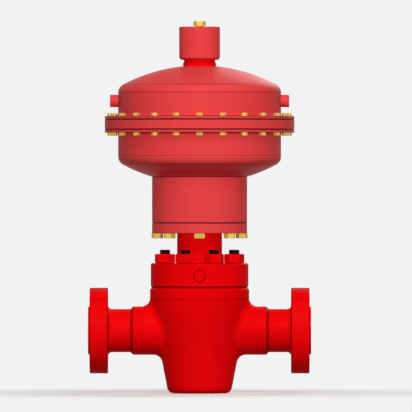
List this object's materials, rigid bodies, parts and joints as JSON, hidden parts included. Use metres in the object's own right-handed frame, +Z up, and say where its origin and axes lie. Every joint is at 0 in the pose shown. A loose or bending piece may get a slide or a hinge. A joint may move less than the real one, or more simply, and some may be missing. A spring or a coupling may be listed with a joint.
{
  "type": "pneumatic gate valve",
  "caption": "Fail-closed gate valve with integral end flanges; air on a spring-return diaphragm under a dished housing drives the stem and gate down to open it.",
  "frame": {"origin": "under the middle of the valve body's foot, at the bottom centre of the bounding box", "axes": "+X along the flow line towards the outlet, -Y to the front, where the bonnet's plug is, +Z up the stem"},
  "size_m": [0.5206, 0.443, 0.8694],
  "materials": {
    "valve_paint": "bright red enamel",
    "actuator_paint": "softer red enamel",
    "black_stud": "black oxide",
    "yellow_zinc": "yellow zinc plate",
    "black_rubber": "moulded rubber",
    "white_packing": "moulded packing",
    "bright_steel": "ground and polished",
    "plain_steel": "machined",
    "bronze": "turned bronze",
    "spring_paint": "dark coated spring steel"
  },
  "bodies": {
    "valve": {"valve_body": "valve_paint", "seat_ring_right": "bright_steel", "seat_ring_left": "bright_steel", "seat_seal_right": "black_rubber", "seat_seal_left": "black_rubber", "gate_guide_front": "plain_steel", "gate_guide_rear": "plain_steel", "bonnet_gasket": "bright_steel", "bonnet": "valve_paint", "bonnet_plug": "valve_paint", "bonnet_studs": "black_stud", "bonnet_nuts": "valve_paint", "packing_base_ring": "plain_steel", "stem_packing": "white_packing", "packing_gland": "plain_steel", "lock_ring": "plain_steel", "end_plate": "actuator_paint", "end_plate_gasket": "black_rubber", "end_plate_bolts": "yellow_zinc", "spring_barrel": "actuator_paint", "breather": "yellow_zinc", "lower_housing": "actuator_paint", "spacer_gasket": "black_rubber", "spacer_ring": "actuator_paint", "diaphragm": "black_rubber", "upper_housing": "actuator_paint", "housing_bolts": "yellow_zinc", "housing_nuts": "yellow_zinc", "air_port_right": "actuator_paint", "air_port_left": "actuator_paint", "top_hub": "valve_paint", "hub_bushing": "bronze", "shaft_seals": "black_rubber", "bushing_snap_ring": "plain_steel", "cap": "actuator_paint", "cap_plug": "yellow_zinc", "lower_spring_seat": "plain_steel", "spring": "spring_paint"},
    "stem_train": {"gate": "bright_steel", "valve_stem": "bright_steel", "stem_connector": "plain_steel", "actuator_shaft": "bright_steel", "lower_diaphragm_plate": "plain_steel", "upper_diaphragm_plate": "plain_steel", "shaft_washer": "plain_steel", "shaft_nut": "plain_steel"}
  },
  "joints": [
    {"name": "stem_stroke", "type": "slide", "parent": "valve", "child": "stem_train", "axis": [0, 0, -1], "range_m": [0, 0.062], "stiffness_N_per_m": 10000, "springref_m": -0.04, "deforming": ["spring", "diaphragm"]}
  ]
}
